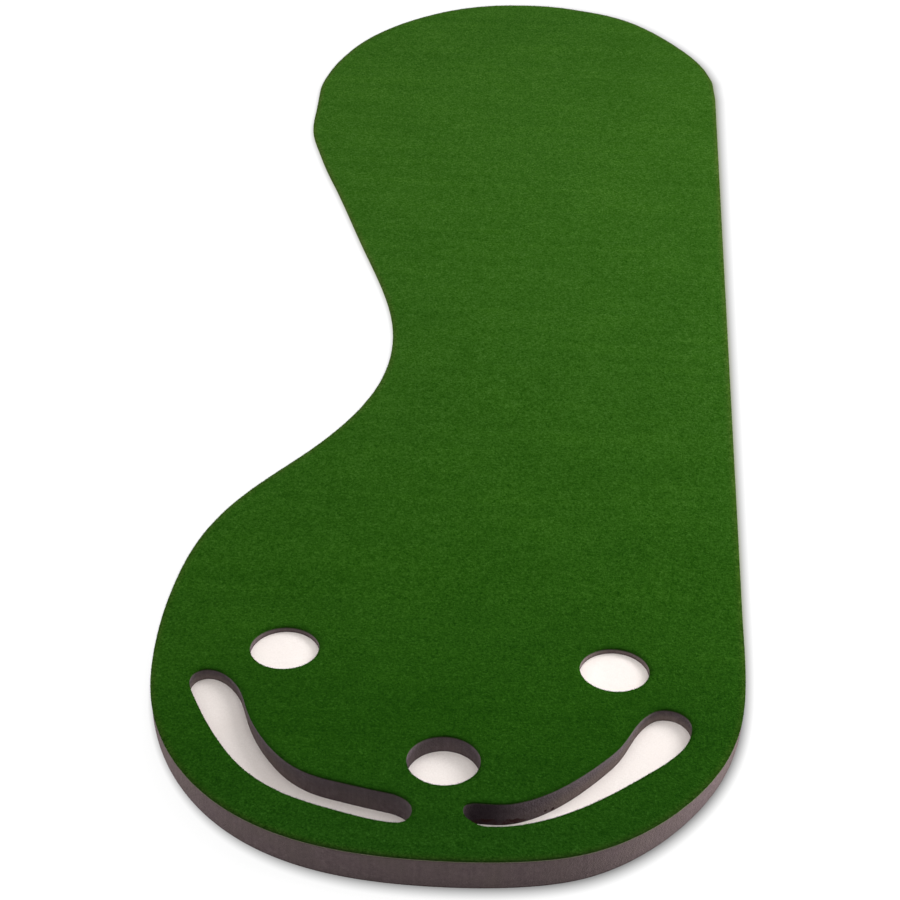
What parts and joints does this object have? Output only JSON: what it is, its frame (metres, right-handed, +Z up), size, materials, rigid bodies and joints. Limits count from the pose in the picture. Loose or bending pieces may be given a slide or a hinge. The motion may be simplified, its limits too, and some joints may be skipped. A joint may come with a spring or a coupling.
{
  "type": "practice putting mat",
  "caption": "Kidney-shaped practice putting mat of green turf that climbs a foam wedge at one end, with round cups and curved sand traps cut through to a white base sheet.",
  "frame": {"origin": "middle of the mat's footprint, on the floor", "axes": "+Y from the cup end to the tee end, +X to the right for a person standing at the cup end and looking along the mat (towards the straight side), +Z up"},
  "size_m": [0.8716, 2.7435, 0.053],
  "materials": {
    "turf_pile": "short dense needle-punched polypropylene pile, matte",
    "backing": "non-skid latex backing, pale olive, fine pimpled grain",
    "foam": "open-cell charcoal foam with saw-cut walls, matte",
    "liner": "white non-woven base sheet, matte"
  },
  "bodies": {
    "root": {"putting_turf": "turf_pile", "turf_backing": "backing", "foam_wedge": "foam", "base_liner": "liner"}
  },
  "joints": []
}
